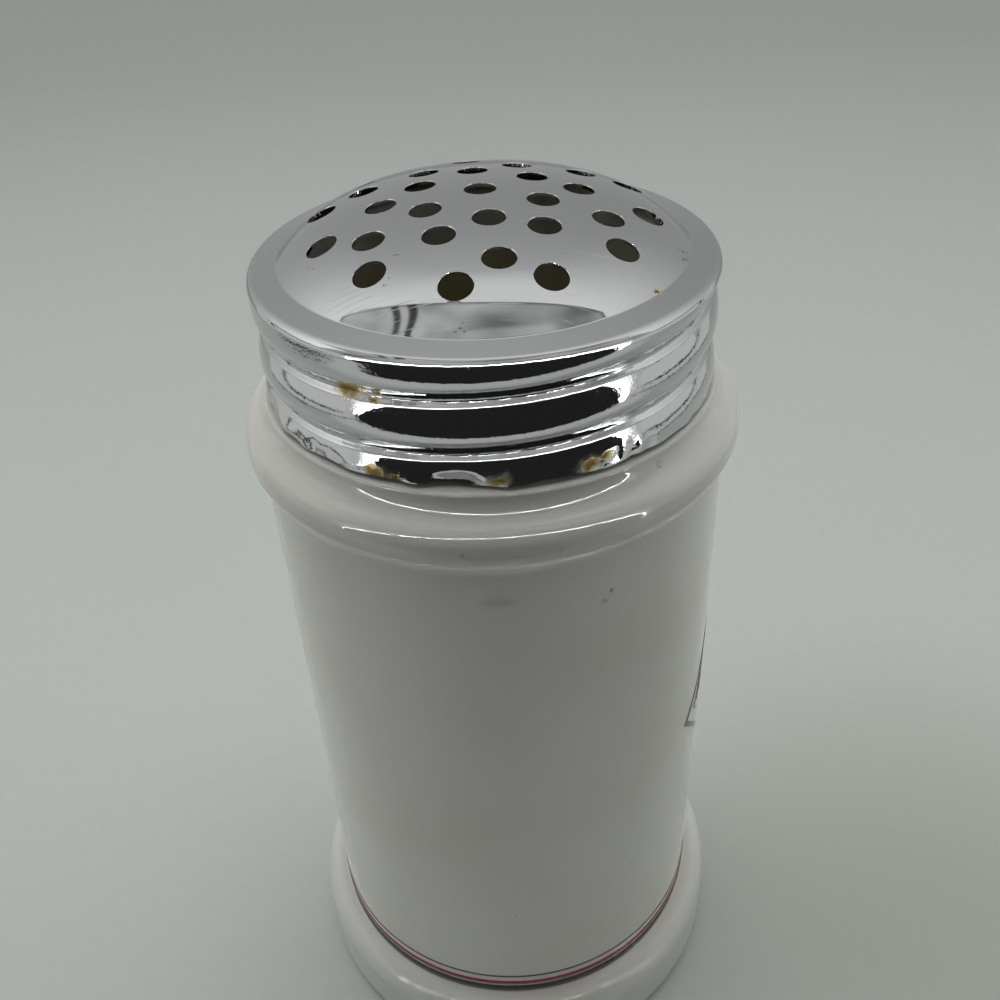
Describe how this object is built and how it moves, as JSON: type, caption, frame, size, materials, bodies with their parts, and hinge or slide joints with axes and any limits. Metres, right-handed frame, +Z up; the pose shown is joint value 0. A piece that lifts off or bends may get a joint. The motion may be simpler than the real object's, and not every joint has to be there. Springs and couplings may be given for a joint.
{
  "type": "parmesan shaker",
  "caption": "Glazed ceramic table jar with a stepped foot, a rolled shoulder and a chromed, perforated dome lid that screws on, for shaking out grated cheese.",
  "frame": {"origin": "centre of the foot ring's resting plane", "axes": "+Z up along the jar's axis, -Y towards the front of the picture, +X towards the badge"},
  "size_m": [0.0786, 0.0786, 0.1524],
  "materials": {
    "glazed_ceramic": "clear gloss glaze over white stoneware",
    "chromed_steel": "bright chrome plate, worn and lightly stained",
    "liner_rubber": "smooth pale food-grade rubber",
    "grey_transfer": "fired-on transfer under gloss",
    "red_transfer": "fired-on transfer under gloss",
    "black_transfer": "fired-on transfer under gloss"
  },
  "bodies": {
    "jar": {"jar": "glazed_ceramic", "fine_stripe": "grey_transfer", "red_stripe": "red_transfer", "black_stripe": "black_transfer", "badge_frame": "black_transfer", "badge_rosette": "red_transfer"},
    "liner": {"lid_liner": "liner_rubber"},
    "lid": {"lid": "chromed_steel"}
  },
  "joints": [
    {"name": "lid_rise", "type": "slide", "parent": "jar", "child": "liner", "axis": [0, 0, 1], "range_m": [0, 0.0228]},
    {"name": "lid_turn", "type": "hinge", "parent": "liner", "child": "lid", "pos_m": [0, 0, 0.1424], "axis": [0, 0, 1], "range_deg": [0, 1080]}
  ],
  "couplings": [
    {"joint": "lid_rise", "follows": "lid_turn", "m_per_rad": 0.0012016}
  ]
}
